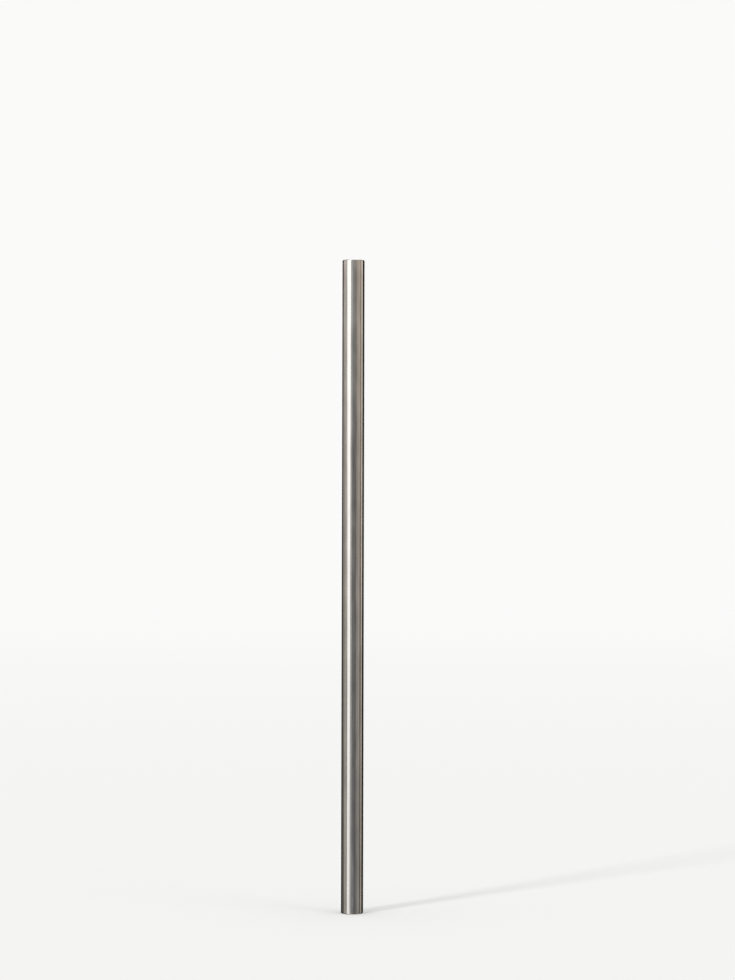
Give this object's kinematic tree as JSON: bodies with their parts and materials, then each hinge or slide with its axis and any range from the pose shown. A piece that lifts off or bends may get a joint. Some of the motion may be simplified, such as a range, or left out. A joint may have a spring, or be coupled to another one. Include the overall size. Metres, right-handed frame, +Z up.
{
  "type": "stainless steel straw",
  "caption": "Straight reusable drinking straw of thin-walled polished steel tube, open right through, standing on its end, with smooth rounded ends.",
  "frame": {"origin": "the middle of the end that the straw stands on", "axes": "+Z up along the tube's axis, +X and +Y across the tube"},
  "size_m": [0.006, 0.006, 0.175],
  "materials": {
    "polished_steel": "polished"
  },
  "bodies": {
    "root": {"straw": "polished_steel"}
  },
  "joints": []
}
